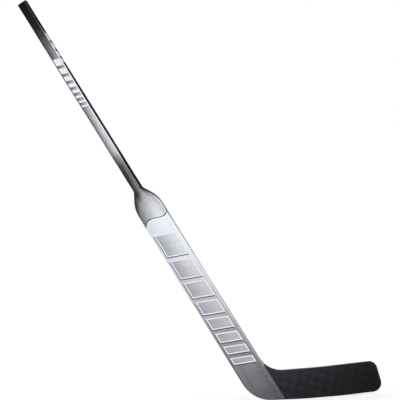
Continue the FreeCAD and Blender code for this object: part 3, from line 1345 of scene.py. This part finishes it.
@dataclass(frozen=True)
class PrintedAssembly(SubAssembly):
    """A part of the stick with a printed ladder on both faces."""

    ladder: PrintedLadder

    def build(self, inks: Inks) -> None:
        """Print the ladder in its outline, filling and shadow inks."""
        for face in Face:
            self.ladder.build(face, inks)


@dataclass(frozen=True)
class Shaft(PrintedAssembly):
    """The slim shaft with its butt plug and its small printed ladder."""

    finishes: Finishes = (
        (ShaftLacquer(), ("shaft_tube",)),
        (MOULDED_PLASTIC, ("butt_end_plug",)),
    )
    ladder: PrintedLadder = PrintedLadder(
        "shaft", "shaft_laminate", top=1211.0, first=24.0, ratio=0.82, count=8, gap=10.0, heel=-11.4,
        toe=8.2, outline=1.2, drop=(-1.0, -1.8))


@dataclass(frozen=True)
class Paddle(PrintedAssembly):
    """The flared shoulder, the wide paddle and the heel, with their printed ladder."""

    finishes: Finishes = (
        (PaddleLacquer(), ("paddle_front_skin", "paddle_back_skin", "heel_side_rail", "toe_side_rail")),
    )
    ladder: PrintedLadder = PrintedLadder(
        "paddle", "paddle_laminate", top=574.0, first=78.0, ratio=0.84, count=8, gap=13.0, heel=-33.0,
        toe=31.0, outline=3.6, drop=(-2.4, -2.3))


@dataclass(frozen=True)
class Blade(SubAssembly):
    """The black blade: woven skins and a resin edge."""

    finishes: Finishes = (
        (SpreadTowLaminate(), ("blade_front_skin", "blade_back_skin")),
        (EdgeResin(), ("blade_edge_band",)),
    )


@dataclass(frozen=True)
class InnerParts(SubAssembly):
    """What the skins close in: spine, spar and foam."""

    finishes: Finishes = (
        (PlainFinish.laminate("spine_laminate", AXES.lean), ("paddle_spine",)),
        (PlainFinish.laminate("spar_laminate", math.pi / 2), ("blade_spar",)),
        (PlainFinish.foam("core_foam", (202, 226), 900),
         ("heel_side_core", "toe_side_core", "blade_upper_core", "blade_lower_core")),
        (PlainFinish.foam("dense_foam", (172, 196), 1500), ("heel_block",)),
    )


@dataclass(frozen=True)
class Lamp:
    """One soft square lamp."""

    name: str
    place: Triple
    size: float
    power: float

    def hang(self, target: Vector) -> None:
        """Hang the lamp and turn it to a place.

        Args:
            target: the place that it lights.
        """
        data = bpy.data.lights.new(self.name, "AREA")
        data.shape = "SQUARE"
        data.size = self.size
        data.energy = self.power
        lamp = bpy.data.objects.new(self.name, data)
        lamp.location = self.place
        lamp.rotation_euler = (target - lamp.location).to_track_quat("-Z", "Y").to_euler()
        bpy.context.scene.collection.objects.link(lamp)


@dataclass(frozen=True)
class StudioCamera:
    """The photograph's camera, by its angles and its distance from a place on the stick."""

    azimuth: float = math.radians(9.0)
    elevation: float = math.radians(-1.067)
    roll: float = math.radians(7.365)
    distance: float = 2.817105
    focal_pixels: float = 930.673
    picture_pixels: float = 400.0
    sensor_width: float = 36.0
    target: Triple = (-0.295352, 0.0, 0.625573)

    def stand(self) -> None:
        """Set the camera up."""
        data = bpy.data.cameras.new("camera")
        data.sensor_width = self.sensor_width
        data.lens = self.sensor_width * self.focal_pixels / self.picture_pixels
        turn = Matrix.Rotation(self.azimuth, 4, "Z")
        tilt = Matrix.Rotation(math.pi / 2 - self.elevation, 4, "X")
        roll = Matrix.Rotation(-self.roll, 4, "Z")
        away = Matrix.Translation((0.0, 0.0, self.distance))
        camera = bpy.data.objects.new("camera", data)
        camera.matrix_world = Matrix.Translation(self.target) @ turn @ tilt @ roll @ away
        bpy.context.scene.collection.objects.link(camera)
        bpy.context.scene.camera = camera


@dataclass(frozen=True)
class Studio:
    """A plain white studio: floor, soft lamps and an even white surround."""

    floor_size: float = 14.0
    floor_drop: float = 0.0003
    floor_colour: Colour = (0.86, 0.86, 0.86, 1.0)
    floor_share: float = 0.68
    floor_glow: Ramp = Ramp(1.6, 4.0, 1.10, 1.25)
    surround: float = 0.56
    lit_place: Triple = (-0.3, 0.0, 0.6)
    lamps: Tuple[Lamp, ...] = (
        Lamp("key_lamp", (1.5, -2.3, 1.9), 1.8, 38.0),
        Lamp("fill_lamp", (-2.3, -1.7, 1.3), 1.6, 12.0),
        Lamp("back_lamp", (-1.2, 2.4, 1.9), 2.0, 38.0),
    )

    def build(self) -> None:
        """Lay the floor, hang the lamps and light the surround."""
        bpy.context.scene.view_settings.view_transform = "Standard"
        self.lay_floor()
        for lamp in self.lamps:
            lamp.hang(Vector(self.lit_place))
        self.light_surround()

    def lay_floor(self) -> None:
        """Lay a pale floor that keeps the stick's shadow and glows where the lamps' light falls off."""
        bpy.ops.object.select_all(action="DESELECT")
        bpy.ops.mesh.primitive_plane_add(size=self.floor_size, location=(0.0, 0.0, -self.floor_drop))
        floor = bpy.context.object
        floor.name = "floor"
        graph = Graph.named("floor_white")
        away = graph.node("ShaderNodeVectorMath", graph.place, operation="LENGTH").outputs["Value"]
        glow = graph.plugged("ShaderNodeEmission", Strength=self.floor_glow.of(Reading(graph, away)))
        matt = graph.plugged("ShaderNodeBsdfDiffuse", Color=self.floor_colour)
        graph.finish(graph.blend(graph.seen() * self.floor_share, matt.outputs[0], glow.outputs[0]))
        floor.data.materials.append(graph.owner)

    def light_surround(self) -> None:
        """Light the surround evenly and show it as white."""
        graph = Graph(bpy.data.worlds.new("surround"))
        light = graph.plugged("ShaderNodeBackground", Color=WHITE, Strength=self.surround)
        shown = graph.plugged("ShaderNodeBackground", Color=WHITE, Strength=1.0)
        graph.finish(graph.blend(graph.seen(), light.outputs[0], shown.outputs[0]))
        bpy.context.scene.world = graph.owner


def main() -> None:
    """Load the frame, build and dress the stick in order, and set up the studio."""
    logging.basicConfig(level=logging.INFO, format="%(name)s: %(message)s")
    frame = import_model()
    nodes = frame["nodes"]
    white, silver, shadow = (ink.material() for ink in (WHITE_INK, SilverInk(), SHADOW_INK))
    shaft, paddle = Shaft(), Paddle()
    shaft.build((white, white, shadow))
    paddle.build((white, silver, shadow))
    for part in (shaft, paddle, Blade(), InnerParts()):
        part.dress(nodes)
    Studio().build()
    StudioCamera().stand()


if __name__ == "__main__":
    main()
